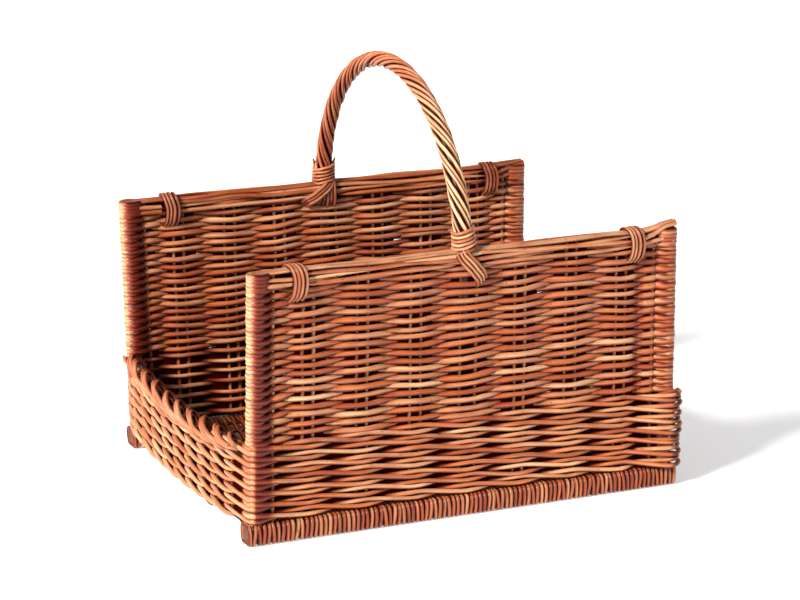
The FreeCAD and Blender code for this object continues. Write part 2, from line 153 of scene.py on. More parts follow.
# How far the basket's corners sit off true, by end, side and height: it is made by hand
CORNERS = {
    (-1, -1, 0): (-2, -7, 0), (1, -1, 0): (1, -2, 0), (-1, 1, 0): (0, 0, 0), (1, 1, 0): (0, 0, 0),
    (-1, -1, 1): (6, 0, -3), (1, -1, 1): (2, 0, 0), (-1, 1, 1): (-8, 0, 0), (1, 1, 1): (0, 0, 2),
}


def off_true(points):
    """Moves points by the corners' offsets, spread evenly between the corners."""
    u = np.clip(points[..., 0] / HALF_LENGTH * 0.5 + 0.5, -0.1, 1.1)
    v = np.clip(points[..., 1] / SIDE * 0.5 + 0.5, -0.1, 1.1)
    w = np.clip(points[..., 2] / RIM_TOP, 0, 1)
    moved = points.copy()
    for (a, b, c), offset in CORNERS.items():
        share = (u if a > 0 else 1 - u) * (v if b > 0 else 1 - v) * (w if c else 1 - w)
        moved += share[..., None] * np.array(offset, float)
    return moved


def add_piece(name, mesh, material):
    """Puts a mesh in the scene, as a piece that rides on the basket."""
    mesh.materials.append(material)
    piece = bpy.data.objects.new(name, mesh)
    bpy.context.scene.collection.objects.link(piece)
    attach(piece, BODY)
    return piece


class Bundle:
    """The rods of one piece, gathered as tubes in one mesh. Each vertex keeps its place along
    and round its rod, for streaks that follow the wood, its rod's own random tone, and the
    painted shade of crevices, under sides and cut ends."""

    def __init__(self, name, seed, sides=8):
        self.name = name
        self.draw = np.random.default_rng(seed)
        self.sides = sides
        self.verts, self.faces, self.smooth, self.place, self.shade = [], [], [], [], []
        self.count = 0

    def rod(self, path, radius, up=Z, flat=1.0, tall=1.0, taper=0.12, tips=(0.0, 0.0), tone=None,
            deep=None, end_shade=0.35):
        """A willow rod along a path. flat and tall scale it across up and along up, tips are
        the lengths over which its two ends come to a point, tone is (share, paleness,
        redness) to draw its colour towards, deep tells from points and outward directions how
        far down in a crevice they lie, which is drawn as painted shade, and end_shade is the
        painted shade that darkens the cut ends."""
        draw, sides = self.draw, self.sides
        path = np.asarray(path, float)
        along = np.gradient(path, axis=0)
        along /= np.linalg.norm(along, axis=1)[:, None]
        side = np.cross(up, along)
        side /= np.linalg.norm(side, axis=1)[:, None]
        over = np.cross(along, side)
        run = np.concatenate([[0], np.cumsum(np.linalg.norm(np.diff(path, axis=0), axis=1))])
        length = run[-1]
        thick = np.ones(len(path)) * radius
        lean = taper if draw.random() < 0.5 else -taper
        thick *= 1 + lean * (run / length - 0.5)
        for knot in np.arange(draw.uniform(10, 90), length, draw.uniform(70, 130)):
            thick *= 1 + draw.uniform(0.02, 0.09) * np.exp(-(((run - knot) / 3.0) ** 2))
        for tip, distance in zip(tips, (run, length - run)):
            if tip > 0:
                thick *= np.clip(np.sqrt(distance / tip + 0.02), 0, 1)
        angle = np.arange(sides) / sides * math.tau
        flat = np.ones(len(path)) * flat
        tall = np.ones(len(path)) * tall
        round_out = (
            side[:, None] * (np.cos(angle)[None, :] * flat[:, None])[..., None]
            + over[:, None] * (np.sin(angle)[None, :] * tall[:, None])[..., None]
        )
        tube = path[:, None] + round_out * thick[:, None, None]
        # Painted shade: how darkly each vertex is drawn for lying down in a crevice.
        crevice = np.clip(deep(tube, round_out), 0, 1) if deep else np.zeros(tube.shape[:2])
        tube = off_true(tube)
        pale, red = draw.random(2)
        shift = draw.uniform(0, 10)
        place = np.empty_like(tube)
        place[..., 0] = (run * MM + shift)[:, None]
        place[..., 1] = np.cos(angle) * radius * MM
        place[..., 2] = np.sin(angle) * radius * MM
        first = self.count
        self.verts += [tube.reshape(-1, 3), tube[0], tube[-1]]
        self.place += [place.reshape(-1, 3), place[0], place[-1]]
        rings = len(path)
        i = np.arange(rings - 1)[:, None] * sides
        j = np.arange(sides)[None, :]
        k = (j + 1) % sides
        quads = np.stack([i + j, i + k, i + sides + k, i + sides + j], axis=-1).reshape(-1, 4)
        self.faces += (quads + first).tolist()
        caps = first + rings * sides
        self.faces.append(list(range(caps + sides - 1, caps - 1, -1)))
        self.faces.append(list(range(caps + sides, caps + 2 * sides)))
        self.smooth += [True] * len(quads) + [False, False]
        body = np.tile((pale, red, 0.0, 0.0), (rings * sides, 1))
        # tone moves the rod's colour; some callers use it for painted light and painted shade.
        if tone:
            share, to_pale, to_red = (np.repeat(np.ones(rings) * part, sides) for part in tone)
            body[:, 0] += (to_pale - pale) * share
            body[:, 1] += (to_red - red) * share
        # The third channel is painted shade: crevices on the body, end_shade on the cut ends.
        body[:, 2] = crevice.ravel()
        cut = np.tile((pale, red, end_shade, 1.0), (2 * sides, 1))
        self.shade += [body, cut]
        self.count += (rings + 2) * sides

    def build(self, material, slot, *nodes):
        """Makes the piece, which stands for those CAD nodes."""
        mesh = bpy.data.meshes.new(self.name)
        mesh.from_pydata(np.vstack(self.verts) * MM, [], self.faces)
        mesh.polygons.foreach_set("use_smooth", self.smooth)
        place = mesh.attributes.new("rod_place", "FLOAT_VECTOR", "POINT")
        place.data.foreach_set("vector", np.vstack(self.place).ravel())
        shade = mesh.attributes.new("rod_shade", "FLOAT_COLOR", "POINT")
        shade.data.foreach_set("color", np.vstack(self.shade).ravel())
        piece = add_piece(self.name, mesh, material)
        if nodes:
            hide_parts(*nodes)


# Materials


class Nodes:
    """Short calls for a material's node tree."""

    def __init__(self, name):
        self.material = bpy.data.materials.new(name)
        self.material.use_nodes = True
        self.tree = self.material.node_tree
        self.shader = self.tree.nodes["Principled BSDF"]

    def new(self, kind, **inputs):
        node = self.tree.nodes.new(kind)
        for name, value in inputs.items():
            self.put(node.inputs[name.replace("_", " ")], value)
        return node

    def put(self, socket, value):
        if isinstance(value, bpy.types.NodeSocket):
            self.tree.links.new(value, socket)
        else:
            socket.default_value = value

    def math(self, operation, *values, clamp=False):
        node = self.tree.nodes.new("ShaderNodeMath")
        node.operation, node.use_clamp = operation, clamp
        for socket, value in zip(node.inputs, values):
            self.put(socket, value)
        return node.outputs[0]

    def plus(self, value, scale, offset):
        return self.math("MULTIPLY_ADD", value, scale, offset)

    def mix(self, factor, a, b):
        node = self.tree.nodes.new("ShaderNodeMix")
        node.data_type = "RGBA"
        self.put(node.inputs["Factor"], factor)
        for name, colour in (("A", a), ("B", b)):
            self.put(node.inputs[name], (*colour, 1.0) if isinstance(colour, tuple) else colour)
        return node.outputs["Result"]

    def noise(self, vector, scale, detail, roughness):
        """Noise with so many waves a metre along each axis of vector."""
        vector = self.new("ShaderNodeMapping", Vector=vector, Scale=scale).outputs["Vector"]
        node = self.new("ShaderNodeTexNoise", Vector=vector, Scale=1.0, Detail=detail)
        node.inputs["Roughness"].default_value = roughness
        return node.outputs["Fac"]

    def ramp(self, factor, low, high):
        """Rises from 0 to 1 as factor goes from low to high."""
        node = self.new("ShaderNodeMapRange", Value=factor, From_Min=low, From_Max=high)
        return node.outputs["Result"]


# Colours of willow, from the palest rods to the painted shade between them
STRAW = (0.88, 0.55, 0.31)
TAN = (0.54, 0.150, 0.048)
RUSSET = (0.32, 0.058, 0.018)
BARK = (0.09, 0.016, 0.007)
DEEP = (0.034, 0.0020, 0.001)
CUT = (0.62, 0.34, 0.16)


def willow(name, warmth, light):
    """Buff willow: each rod its own tone, streaks and fine fibres along it, darker flecks,
    pale cut ends and a thin satin varnish; painted shade from the third channel of rod_shade
    darkens crevices towards DEEP and takes away their varnish."""
    n = Nodes(name)
    shade = n.new("ShaderNodeAttribute")
    shade.attribute_name = "rod_shade"
    split = n.new("ShaderNodeSeparateColor", Color=shade.outputs["Color"])
    pale, red, crevice = split.outputs
    where = n.new("ShaderNodeAttribute")
    where.attribute_name = "rod_place"
    place = where.outputs["Vector"]
    streak = n.noise(place, (14.0, 320.0, 320.0), 3.0, 0.6)
    patch = n.noise(place, (26.0, 60.0, 60.0), 2.0, 0.5)
    fibre = n.noise(place, (60.0, 1900.0, 1900.0), 2.0, 0.7)
    fleck = n.ramp(n.noise(place, (190.0, 420.0, 420.0), 2.0, 0.6), 0.64, 0.74)
    paleness = n.plus(pale, 0.75, light - 0.50)
    paleness = n.math("ADD", paleness, n.plus(streak, 1.8, -0.92), clamp=True)
    redness = n.plus(red, 0.8, warmth - 0.62)
    redness = n.math("ADD", redness, n.plus(patch, 1.4, -0.7), clamp=True)
    colour = n.mix(paleness, TAN, STRAW)
    colour = n.mix(redness, colour, RUSSET)
    colour = n.mix(n.math("MULTIPLY", fleck, 0.65), colour, BARK)
    colour = n.mix(n.math("MULTIPLY", n.ramp(fibre, 0.35, 0.75), 0.25), colour, BARK)
    colour = n.mix(shade.outputs["Alpha"], colour, CUT)
    # Painted shade: crevices are darkened through a gamma, drawn towards DEEP and lose their
    # varnish.
    gamma = n.plus(crevice, 0.9, 1.0)
    colour = n.new("ShaderNodeGamma", Color=colour, Gamma=gamma).outputs["Color"]
    colour = n.mix(n.math("MULTIPLY", crevice, 0.93), colour, DEEP)
    n.put(n.shader.inputs["Base Color"], colour)
    n.put(n.shader.inputs["Roughness"], n.plus(streak, 0.22, 0.30))
    n.put(n.shader.inputs["Coat Weight"], n.plus(crevice, -0.14, 0.14))
    n.shader.inputs["Coat Roughness"].default_value = 0.25
    n.shader.inputs["Specular IOR Level"].default_value = 0.3
    bump = n.new("ShaderNodeBump", Strength=0.4, Distance=0.0004)
    n.put(bump.inputs["Height"], n.math("ADD", fibre, n.math("MULTIPLY", streak, 0.8)))
    n.put(n.shader.inputs["Normal"], bump.outputs["Normal"])
    return n.material


WEAVE = willow("willow_weave", 0.60, 0.44)
# A darker, redder copy of the weave for the back panel: painted shade on its inner face.
BACK_WEAVE = willow("willow_back_weave", 0.72, 0.42)
WALE = willow("willow_wale", 0.60, 0.42)
WRAP = willow("willow_wrapping", 0.61, 0.40)
RIM = willow("willow_rim", 0.46, 0.70)
# A darker, redder copy of the rim for the back: painted shade, as on the back panel.
BACK_RIM = willow("willow_back_rim", 0.70, 0.48)
ROPE = willow("willow_handle", 0.62, 0.54)
STAKES = willow("willow_stake", 0.48, 0.62)
# A dark copy for the bow and the rail sticks, which lie in shade: painted shade.
CORE = willow("willow_core", 0.95, 0.10)


def web_material():
    """The shade inside the weave, with no gloss at all."""
    n = Nodes("shade_web")
    n.shader.inputs["Base Color"].default_value = (*DEEP, 1)
    n.shader.inputs["Roughness"].default_value = 1.0
    n.shader.inputs["Specular IOR Level"].default_value = 0.0
    return n.material


WEB = web_material()


def web(name, plan, low, high):
    """A thin dark strip in the middle of a woven wall: the shade inside the weave, which
    keeps daylight out of its gaps."""
    plan = np.array(plan, float)
    along = np.gradient(plan, axis=0)
    across = np.stack([-along[:, 1], along[:, 0]], axis=1)
    across *= 0.4 / np.linalg.norm(across, axis=1)[:, None]
    count = len(plan)
    verts = []
    for z in (low, high):
        for side in (1, -1):
            verts.append(np.column_stack([plan + side * across, np.full(count, z)]))
    verts = off_true(np.vstack(verts)) * MM
    faces = []
    for i in range(count - 1):
        for a, b in ((0, 2), (2, 3), (3, 1), (1, 0)):
            faces.append((a * count + i, a * count + i + 1, b * count + i + 1, b * count + i))
    for i in (0, count - 1):
        faces.append((i, count + i, 3 * count + i, 2 * count + i))
    mesh = bpy.data.meshes.new(name)
    mesh.from_pydata(verts.tolist(), [], faces)
    add_piece(name, mesh, WEB)


def webs():
    """The dark strips of the tray, the rims, the stakes and the end walls."""
    for side, sign in SIDES:
        plan = [(x, sign * SIDE) for x in np.linspace(-POST, POST, 30)]
        web(f"{side}_tray_web", plan, RAIL_HIGH[2] + 1, TRAY_TOP)
        web(f"{side}_rim_web", plan, PANEL_TOP - 1, RIM_TOP - 7)
        for number, (x, half, _) in enumerate(uprights()[1:-1], start=1):
            plan = [(x + end * max(half + 15, 17), sign * SIDE) for end in (-1, 0, 1)]
            web(f"{side}_stake_web_{number}", plan, TRAY_TOP, PANEL_TOP - 1)
    for end, hand in ENDS:
        plan = [(hand * (WALL_PLANE + bow_at(y)), y) for y in np.linspace(-SIDE + 6, SIDE - 6, 24)]
        web(f"{end}_web", plan, WALL_FOOT - 1, BORDER_LOW[2] - 4)


def side_depth(points, outward):
    """Crevice shade in a long side's weave: on what faces its middle plane, where rods cross
    there, on under sides and between the turns round a post."""
    offset = abs(points[..., 1]) - SIDE
    facing = np.clip(-outward[..., 1] * np.sign(points[..., 1]) * offset / 4.5, 0, 1)
    seam = np.clip(1 - abs(offset) / 4.0, 0, 1) * np.clip(abs(outward[..., 2]) * 1.6 - 0.7, 0, 1)
    inside = 0.8 * facing + 1.1 * seam + 0.75 * np.clip(-outward[..., 2], 0, 1)
    near = np.clip((abs(points[..., 0]) - (POST - 14)) / 5, 0, 1)
    return inside * (1 - near) + post_depth(points, outward) * near


def post_depth(points, outward):
    """Crevice shade on the rods that turn round a post: between turns, and on its face."""
    face = np.clip((POST + 6 - abs(points[..., 0])) / 3, 0, 1)
    depth = 0.35 + 0.5 * np.clip(np.sin(points[..., 2] / 1.9), 0, 1) + 0.15 * face
    between = np.clip((abs(outward[..., 2]) - 0.6) * 2.6, 0, 1)
    return 0.25 * face * (points[..., 0] < 0) + depth * between


# Side panels


def uprights():
    """Posts, single stakes and stake pairs along a side: (x, half the pair's gap, radius)."""
    places = [(-POST, 0.0, POST_RADIUS), (-END_STAKE, 0.0, STAKE)]
    for bay in range(1, BAYS):
        half = HANDLE_PAIR_HALF if bay == BAYS // 2 else PAIR_HALF
        places.append(((bay - BAYS / 2) * BAY, half, STAKE))
    return places + [(END_STAKE, 0.0, STAKE), (POST, 0.0, POST_RADIUS)]


def post_turn(hand, face, radius, z, rise, draw):
    """Points round the outside of a post, from one face of a panel to the other."""
    points = []
    steps = 6
    bulge = radius + abs(draw.normal()) * 0.25
    for step in range(steps + 1):
        turn = math.pi * step / steps
        x = hand * (POST + bulge * math.sin(turn))
        y = face * radius * math.cos(turn)
        points.append((x, y, z + rise * step / steps))
    points.append((hand * (POST - 7), -face * radius * 0.93, z + rise))
    points.append((hand * (POST - 14), -face * radius * 0.30, z + rise))
    return points


def panel_row(bundle, sign, row, z):
    """One weaver of a side panel, turned round both posts. Locally +y is the outer face."""
    draw = bundle.draw
    face = 1 if row % 2 else -1
    radius = WEAVER * draw.uniform(0.88, 1.08)
    wrap = POST_RADIUS + radius * 0.75
    middle = []
    for number, (x, half, thick) in enumerate(uprights()[1:-1], start=1):
        out = (thick + radius - 0.7) * face * (1 if number % 2 == 0 else -1) * (1 if half else 0.6)
        lift = draw.normal() * 0.62
        for end in (-1, 1) if half else (0,):
            aside = out + draw.normal() * 0.2
            middle.append((x + end * half, aside, z + lift + draw.normal() * 0.15))
    left = post_turn(-1, face, wrap, z, -0.5, draw)[::-1]
    right = post_turn(1, face, wrap, z, 0.5, draw)
    path = through(left + middle + right)
    inside = np.clip((POST - 8 - abs(path[:, 0])) / 30, 0, 1)
    path[:, 2] += wander(draw, len(path), 0.35, waves=6) * inside
    # neighbouring rows rise and dip together, except next to the tray and the rim
    field = 1.3 * np.sin(path[:, 0] / 47 + sign) + 1.0 * np.sin(path[:, 0] / 21 + z / 27)
    free = np.clip((z - TRAY_TOP) / 30, 0, 1) * np.clip((PANEL_TOP - z) / 25, 0, 1)
    path[:, 2] += field * free * inside
    path[:, 1] = sign * (SIDE + path[:, 1])
    near = np.clip((abs(path[:, 0]) - (POST - 16)) / 6, 0, 1)
    band = np.exp(-(((path[:, 0] - RED_BAND) / 6.0) ** 4)) if sign < 0 else 0 * near
    smooth = np.maximum(near, 0.8 * band)
    # Painted shade on the posts' faces and painted light on their outer edges.
    tone = post_painted_light_and_band_tone(path, near, band)
    beside = abs((path[:, 0] / BAY + 0.5) % 1 - 0.5) * BAY
    fill = np.maximum(np.clip((beside - 8) / 10, 0, 1), near)
    flat, tall = 1 - 0.3 * smooth, 1.06 + 0.28 * fill
    bundle.rod(path, radius, flat=flat, tall=tall, tone=tone, deep=side_depth)


def post_painted_light_and_band_tone(path, near, band):
    """Weavers are russet on the left posts' faces, as painted shade, and pale on the posts'
    outer edges, as painted light; they are also redder in the front's band."""
    edge = np.clip((abs(path[:, 0]) - POST - 5.5) / 2.5, 0, 1)
    right = path[:, 0] > 0
    share = np.maximum(near * np.where(right & (edge < 0.5), 0.3, 0.95), 0.85 * band)
    redness = np.where(right, 0.5, 1.3) * (1 - edge)
    return share, 1.1 * edge + 0.3 * right, np.maximum(redness, 1.2 * band) - 0.15 * edge


def post_caps(side, sign, material, seed):
    """Short wraps that close each post's top, above the last weaver."""
    bundle = Bundle(f"{side}_post_caps", seed)
    for hand in (-1, 1):
        for number in range(4):
            z = PANEL_TOP - 2.4 + (number + 0.5) * 3.9
            wrap = POST_RADIUS + WEAVER * 0.75
            start = [(hand * (POST - 12), 0.35 * wrap, z), (hand * (POST - 6), 0.93 * wrap, z)]
            path = through(start + post_turn(hand, 1, wrap, z, 0.4, bundle.draw))
            path[:, 1] = sign * (SIDE + path[:, 1])
            full = np.ones(len(path))
            # Painted shade on the posts' faces and painted light on their outer edges.
            tone = post_painted_light_and_band_tone(path, full, 0 * full)
            bundle.rod(path, WEAVER, flat=0.7, tall=1.25, tone=tone, deep=post_depth)
    bundle.build(material, "willow_weave")


def side_panel(side, sign, material, seed):
    """A tall panel's weavers, in three pieces, and the caps of its posts."""
    rows = int((PANEL_TOP - TRAY_TOP) / ROW) + 1
    cuts = [0, rows // 3, 2 * rows // 3, rows]
    for number, third in enumerate(("lower", "middle", "upper")):
        bundle = Bundle(f"{side}_{third}_weave", seed + number)
        for row in range(cuts[number], cuts[number + 1]):
            panel_row(bundle, sign, row, TRAY_TOP + (row + 0.5) * ROW + 0.8)
        nodes = (f"{side}_panel_weave", f"{side}_left_post_wrapping", f"{side}_right_post_wrapping")
        bundle.build(material, "willow_weave", *(nodes if number == 0 else ()))
    post_caps(side, sign, material, seed + 5)


# Tray


def bow_at(y):
    """How far the bowed end walls stand out at y."""
    return np.sqrt(WALL_RADIUS**2 - y**2) - (WALL_RADIUS - WALL_BOW)


def end_places():
    """The y of the end stakes, and of the base sticks beside them."""
    return [(i - (END_STAKES - 1) / 2) * STICK_PITCH for i in range(END_STAKES)]


def tray_uprights():
    """The tray's uprights in order round the ring, seen from above against the clock:
    (kind, position, outward, half width)."""
    ring = []
    for hand in (-1, 1):
        for y in end_places()[::hand]:
            ring.append(("stake", (hand * (WALL_PLANE + bow_at(y)), y), (hand, 0), 0.0))
        ring.append(("post", (hand * POST, hand * SIDE), (hand, hand), 0.0))
        for bay in list(range(1, BAYS))[::-hand]:
            ring.append(("pair", ((bay - BAYS / 2) * BAY, hand * SIDE), (0, hand), PAIR_HALF))
        ring.append(("post", (-hand * POST, hand * SIDE), (-hand, hand), 0.0))
    return [(kind, np.array(at), np.array(out, float), half) for kind, at, out, half in ring]


def corner_form_and_painted_light_shade(path):
    """How walers flatten round the corner posts, turn russet on the posts' faces, most on the
    left, as painted shade, and pale on the end walls as painted light.
    """
    gap = np.hypot(abs(path[:, 0]) - POST, abs(path[:, 1]) - SIDE)
    near = np.clip((19 - gap) / 6, 0, 1)
    edge = np.clip((abs(path[:, 0]) - POST - 3) / 3, 0, 1)
    face = near * np.where(path[:, 0] < 0, 0.9, 0.4) * (1 - edge)
    # Painted shade: russet on the posts' faces; painted light: pale on the end walls.
    tone = (np.maximum(face, 0.45 * edge), 0.8 * edge, 1.2 - edge)
    tall = 1 + 0.3 * near - 0.2 * edge * (1 - near)
    return {"flat": 1 - 0.3 * near, "tall": tall, "tone": tone, "deep": tray_depth}


def tray_depth(points, outward):
    """Crevice shade in the tray's weave, deeper towards the stakes."""
    side = abs(points[..., 1]) - SIDE
    end = abs(points[..., 0]) - (WALL_PLANE + bow_at(np.clip(points[..., 1], -SIDE, SIDE)))
    away = np.where(abs(points[..., 0]) > POST + 4, abs(end), abs(side))
    gap = np.hypot(abs(points[..., 0]) - POST, abs(points[..., 1]) - SIDE)
    near = np.clip((20 - gap) / 6, 0, 1)
    under = 1.35 * np.clip(-outward[..., 2] - 0.05, 0, 1)
    inside = np.clip(1 - (away - 0.8) / 4.4, 0, 1) + under
    return inside * (1 - near) + post_depth(points, outward) * near


def waler_points(ring, strand, z, radius, draw, first=0, last=None):
    """Points of one of three waling rods: in front of two uprights, behind the third."""
    points = []
    lift = 0.26 * ROUND
    for number in range(first, last if last is not None else len(ring) + 2):
        kind, at, out, half = ring[number % len(ring)]
        phase = (number - strand) % 3
        face = -1 if phase == 0 else 1
        level = z + {0: 0.0, 1: lift, 2: -lift}[phase] + draw.normal() * 0.25
        if kind == "post":
            reach = POST_RADIUS + radius * 0.9 + abs(draw.normal()) * (1.6 if at[0] > 0 else 0.4)
            reach += (7.0 if at[1] < 0 else 3.0) if at[0] > 0 else 0.0
            if face > 0:
                start = math.atan2(out[1], out[0])
                for turn in (-45, -15, 15, 45):
                    angle = start + math.radians(turn)
                    spot = at + reach * np.array([math.cos(angle), math.sin(angle)])
                    points.append((*spot, level))
            else:
                points.append((*(at - out / math.sqrt(2) * reach), level))
            continue
        along = np.array([-out[1], out[0]])
        if kind == "stake":
            level -= 5.0 * (1 - (at[1] / SIDE) ** 2)
        for end in (-1, 1) if half else (0,):
            spot = at + along * half * end + out * face * (STAKE + radius)
            points.append((*spot, level))
    return points


def tray():
    """The tray's waling, in two pieces and the round that tops its sides."""
    ring = tray_uprights()
    for start, name in ((0, "lower"), (ROUNDS // 2, "upper")):
        bundle = Bundle(f"tray_{name}_wale", 40 + start)
        for number in range(start, start + ROUNDS // 2):
            z = FIRST_ROUND + ROUND * number
            for strand in range(3):
                radius = WALER * bundle.draw.uniform(0.94, 1.07)
                path = through(waler_points(ring, strand, z, radius, bundle.draw), step=4.2)
                path[:, 2] += wander(bundle.draw, len(path), 0.7, waves=14)
                bundle.rod(path, radius, taper=0.1, **corner_form_and_painted_light_shade(path))
        nodes = ("left_wall_weave", "right_wall_weave", "front_tray_weave", "back_tray_weave")
        bundle.build(WALE, "willow_weave", *(nodes if start == 0 else ()))
    tray_partial_rounds(ring)


def tray_partial_rounds(ring):
    """The round that tops the long sides and hooks round their corners, and loose rod ends."""
    bundle = Bundle("tray_edge_wale", 47)
    corner = 2 * END_STAKES + BAYS + 1
    for first, last in ((END_STAKES - 2, END_STAKES + BAYS + 1), (corner - 2, len(ring))):
        for strand in range(3):
            radius = WALER * bundle.draw.uniform(0.94, 1.05)
            z = FIRST_ROUND + ROUND * ROUNDS
            path = through(waler_points(ring, strand, z, radius, bundle.draw, first, last))
            bundle.rod(path, radius, **corner_form_and_painted_light_shade(path))
    x, y, z = -POST - 12, SIDE - 4, TRAY_TOP
    points = [(x + 22, y, z - 10), (x + 6, y - 3, z - 7), (x - 1, y, z - 4), (x - 3, y + 4, z + 3)]
    bundle.rod(through(points, 2.5), 2.6, up=X, tips=(0, 3), tone=(0.8, 0.3, 0.9))
    for y, high in ((-SIDE - 8, 0), (-SIDE - 4, -5), (SIDE - 6, -2)):
        x, z = POST + 10, TRAY_TOP + high
        points = [
            (x - 34, y - 1, z - 4), (x - 18, y - 4, z - 1), (x - 4, y - 3, z + 0.5),
            (x + 4, y + 1, z - 1.5), (x + 6, y + 5, z - 6), (x + 3, y + 8, z - 10),
        ]
        path = through(points, 2.5)
        bundle.rod(path, 2.6, up=Y, tips=(6, 3), tone=(0.8, 0.1, 1.0), deep=under_side)
    bundle.build(WALE, "willow_weave")


# End borders


def under_side(points, outward):
    """Crevice shade on the under side of rods."""
    return 1.1 * np.clip(-outward[..., 2] - 0.1, 0, 1)


def border_depth(points, outward):
    """Crevice shade between a border's hooks and on their under sides."""
    return 0.75 * abs(outward[..., 1]) ** 2 + under_side(points, outward)


def end_border(end, hand, seed):
    """Stakes of an end wall brought up inside it, hooked over its top and laid along its outer
    face, against the clock seen from above, like the waling below."""
    bundle = Bundle(f"{end}_border_rods", seed)
    draw = bundle.draw
    # along the wall, outward, height from the border's top
    shape = [
        (10, -8.5, -20), (2, -9.0, -12), (-4, -7.5, -5), (-6, -3.5, -0.5), (0, 1.5, 1.0),
        (11, 6.0, -3.5), (27, 8.6, -8.5), (46, 8.8, -12.0), (66, 7.0, -15.0), (82, 2.0, -17.5),
    ]
    places = end_places()
    for place in [places[0] - STICK_PITCH / 2] + places + [places[-1] + STICK_PITCH / 2]:
        for twin in (0, 1):
            radius = BORDER_ROD * draw.uniform(0.9, 1.1)
            points = []
            ahead = SIDE + hand * place
            rise = draw.normal() * 1.0 + 7.0 * math.exp(-ahead / 45)
            for u, out, z in shape:
                y = place + hand * (u + twin * 6.5 - 6 + draw.normal() * 0.8)
                if abs(y) > SIDE - 9:
                    continue
                sag = 5.0 * (1 - (y / SIDE) ** 2) - 12.0 * math.exp(-(SIDE - hand * y) / 28)
                level = BORDER_HIGH[2] + z * (1 - 0.1 * twin) + rise - sag + draw.normal() * 0.4
                x = hand * (WALL_PLANE + bow_at(y) + out + draw.normal() * 0.3)
                points.append((x, y, level))
            if len(points) > 6:
                path = through(points, 3.0)
                outside = np.clip((abs(path[:, 0]) - WALL_PLANE - bow_at(place)) / 6, 0, 1)
                tone = (0.7, 0.65 * outside, 1.25 - 0.65 * outside)
                bundle.rod(path, radius, up=X, tone=tone, deep=border_depth)
    bundle.build(WALE, "willow_rim", f"{end}_end_border")


# Rims, bindings


def rim_depth(points, outward):
    """Crevice shade between a rim's rods, which lie side by side round its top."""
    offset = abs(points[..., 1]) - SIDE
    side = outward[..., 1] * np.sign(points[..., 1])
    top = np.clip((points[..., 2] - RIM_TOP + 9) / 4, 0, 1)
    across = np.where(abs(offset) < 4.5, abs(side), abs(outward[..., 2]))
    return (0.5 + 0.5 * top) * np.clip((across - 0.62) * 2.2, 0, 0.9)


def rim(side, sign, material, seed):
    """Long rods laid along a panel's top edge, cut flush past the posts."""
    bundle = Bundle(f"{side}_rim", seed)
    draw = bundle.draw
    reach, stop = POST + 8, POST - 8
    # how far the right ends of the top rods turn up
    horn = 6.5 if side == "front" else 2.5
    # x from, x to, outward from, outward to, height from and to, measured from the rim's top
    rods = [
        (-reach, reach, -3.2, -3.0, -5.4, -2.8),
        (-reach, reach, 0.2, 0.0, -3.6, -4.4),
        (-reach, reach, 3.2, 2.9, -4.4, -3.0),
        (POST - 34, reach, 0.0, 0.0, -8.5, -4.5),
    ]
    for face in (1, -1):
        rods += [
            (-196, 30, 5.6 * face, 6.4 * face, -13.6, -5.0),
            (-196, 12, 7.2 * face, 7.4 * face, -7.6, -11.4),
            (-10, 196, 6.6 * face, 7.2 * face, -5.4, -12.6),
            (-32, 196, 7.0 * face, 6.0 * face, -14.4, -6.8),
            (-196, -18, 7.0 * face, 6.6 * face, -18.8, -16.6),
            (10, 196, 6.6 * face, 7.0 * face, -18.4, -18.0),
            (-stop, -204, 6.2 * face, 6.6 * face, -11.0, -12.0),
            (-stop, -204, 6.4 * face, 6.2 * face, -17.0, -17.5),
            (204, reach, 6.6 * face, 5.2 * face, -11.0, -4.6),
            (204, stop + 6, 6.6 * face, 6.2 * face, -16.5, -12.5),
        ]
    for x0, x1, out0, out1, drop0, drop1 in rods:
        radius = RIM_ROD * draw.uniform(0.88, 1.12)
        count = max(3, round(abs(x1 - x0) / 42))
        loose = min(1, abs(x1 - x0) / 200)
        points = []
        for i in range(count + 1):
            t = i / count
            inner = 0 < i < count
            x = x0 + (x1 - x0) * t
            rise = horn * np.clip((x - (POST - 26)) / 20, 0, 1) if drop1 > -5 else 0
            out = out0 + (out1 - out0) * t + inner * draw.normal() * 0.3 * loose
            height = RIM_TOP + drop0 + (drop1 - drop0) * t + rise
            points.append((x, out, height + inner * draw.normal() * 0.7 * loose))
        tips = tuple(0.0 if abs(x) > 203 else 26.0 for x in (x0, x1))
        path = through(points)
        path[:, 1] = sign * (SIDE + path[:, 1])
        outer = np.clip((abs(path[:, 0]) - 205) / 8, 0, 1)
        bundle.rod(path, radius, tips=tips, taper=0.2, tone=(0.6 * outer, 0.5, 0.8), deep=rim_depth)
    bundle.build(material, "willow_rim", f"{side}_rim_rods")


# How far two of the bindings have slipped along the rim
BINDING_SHIFT = {("front", "right"): -7, ("back", "left"): 6}


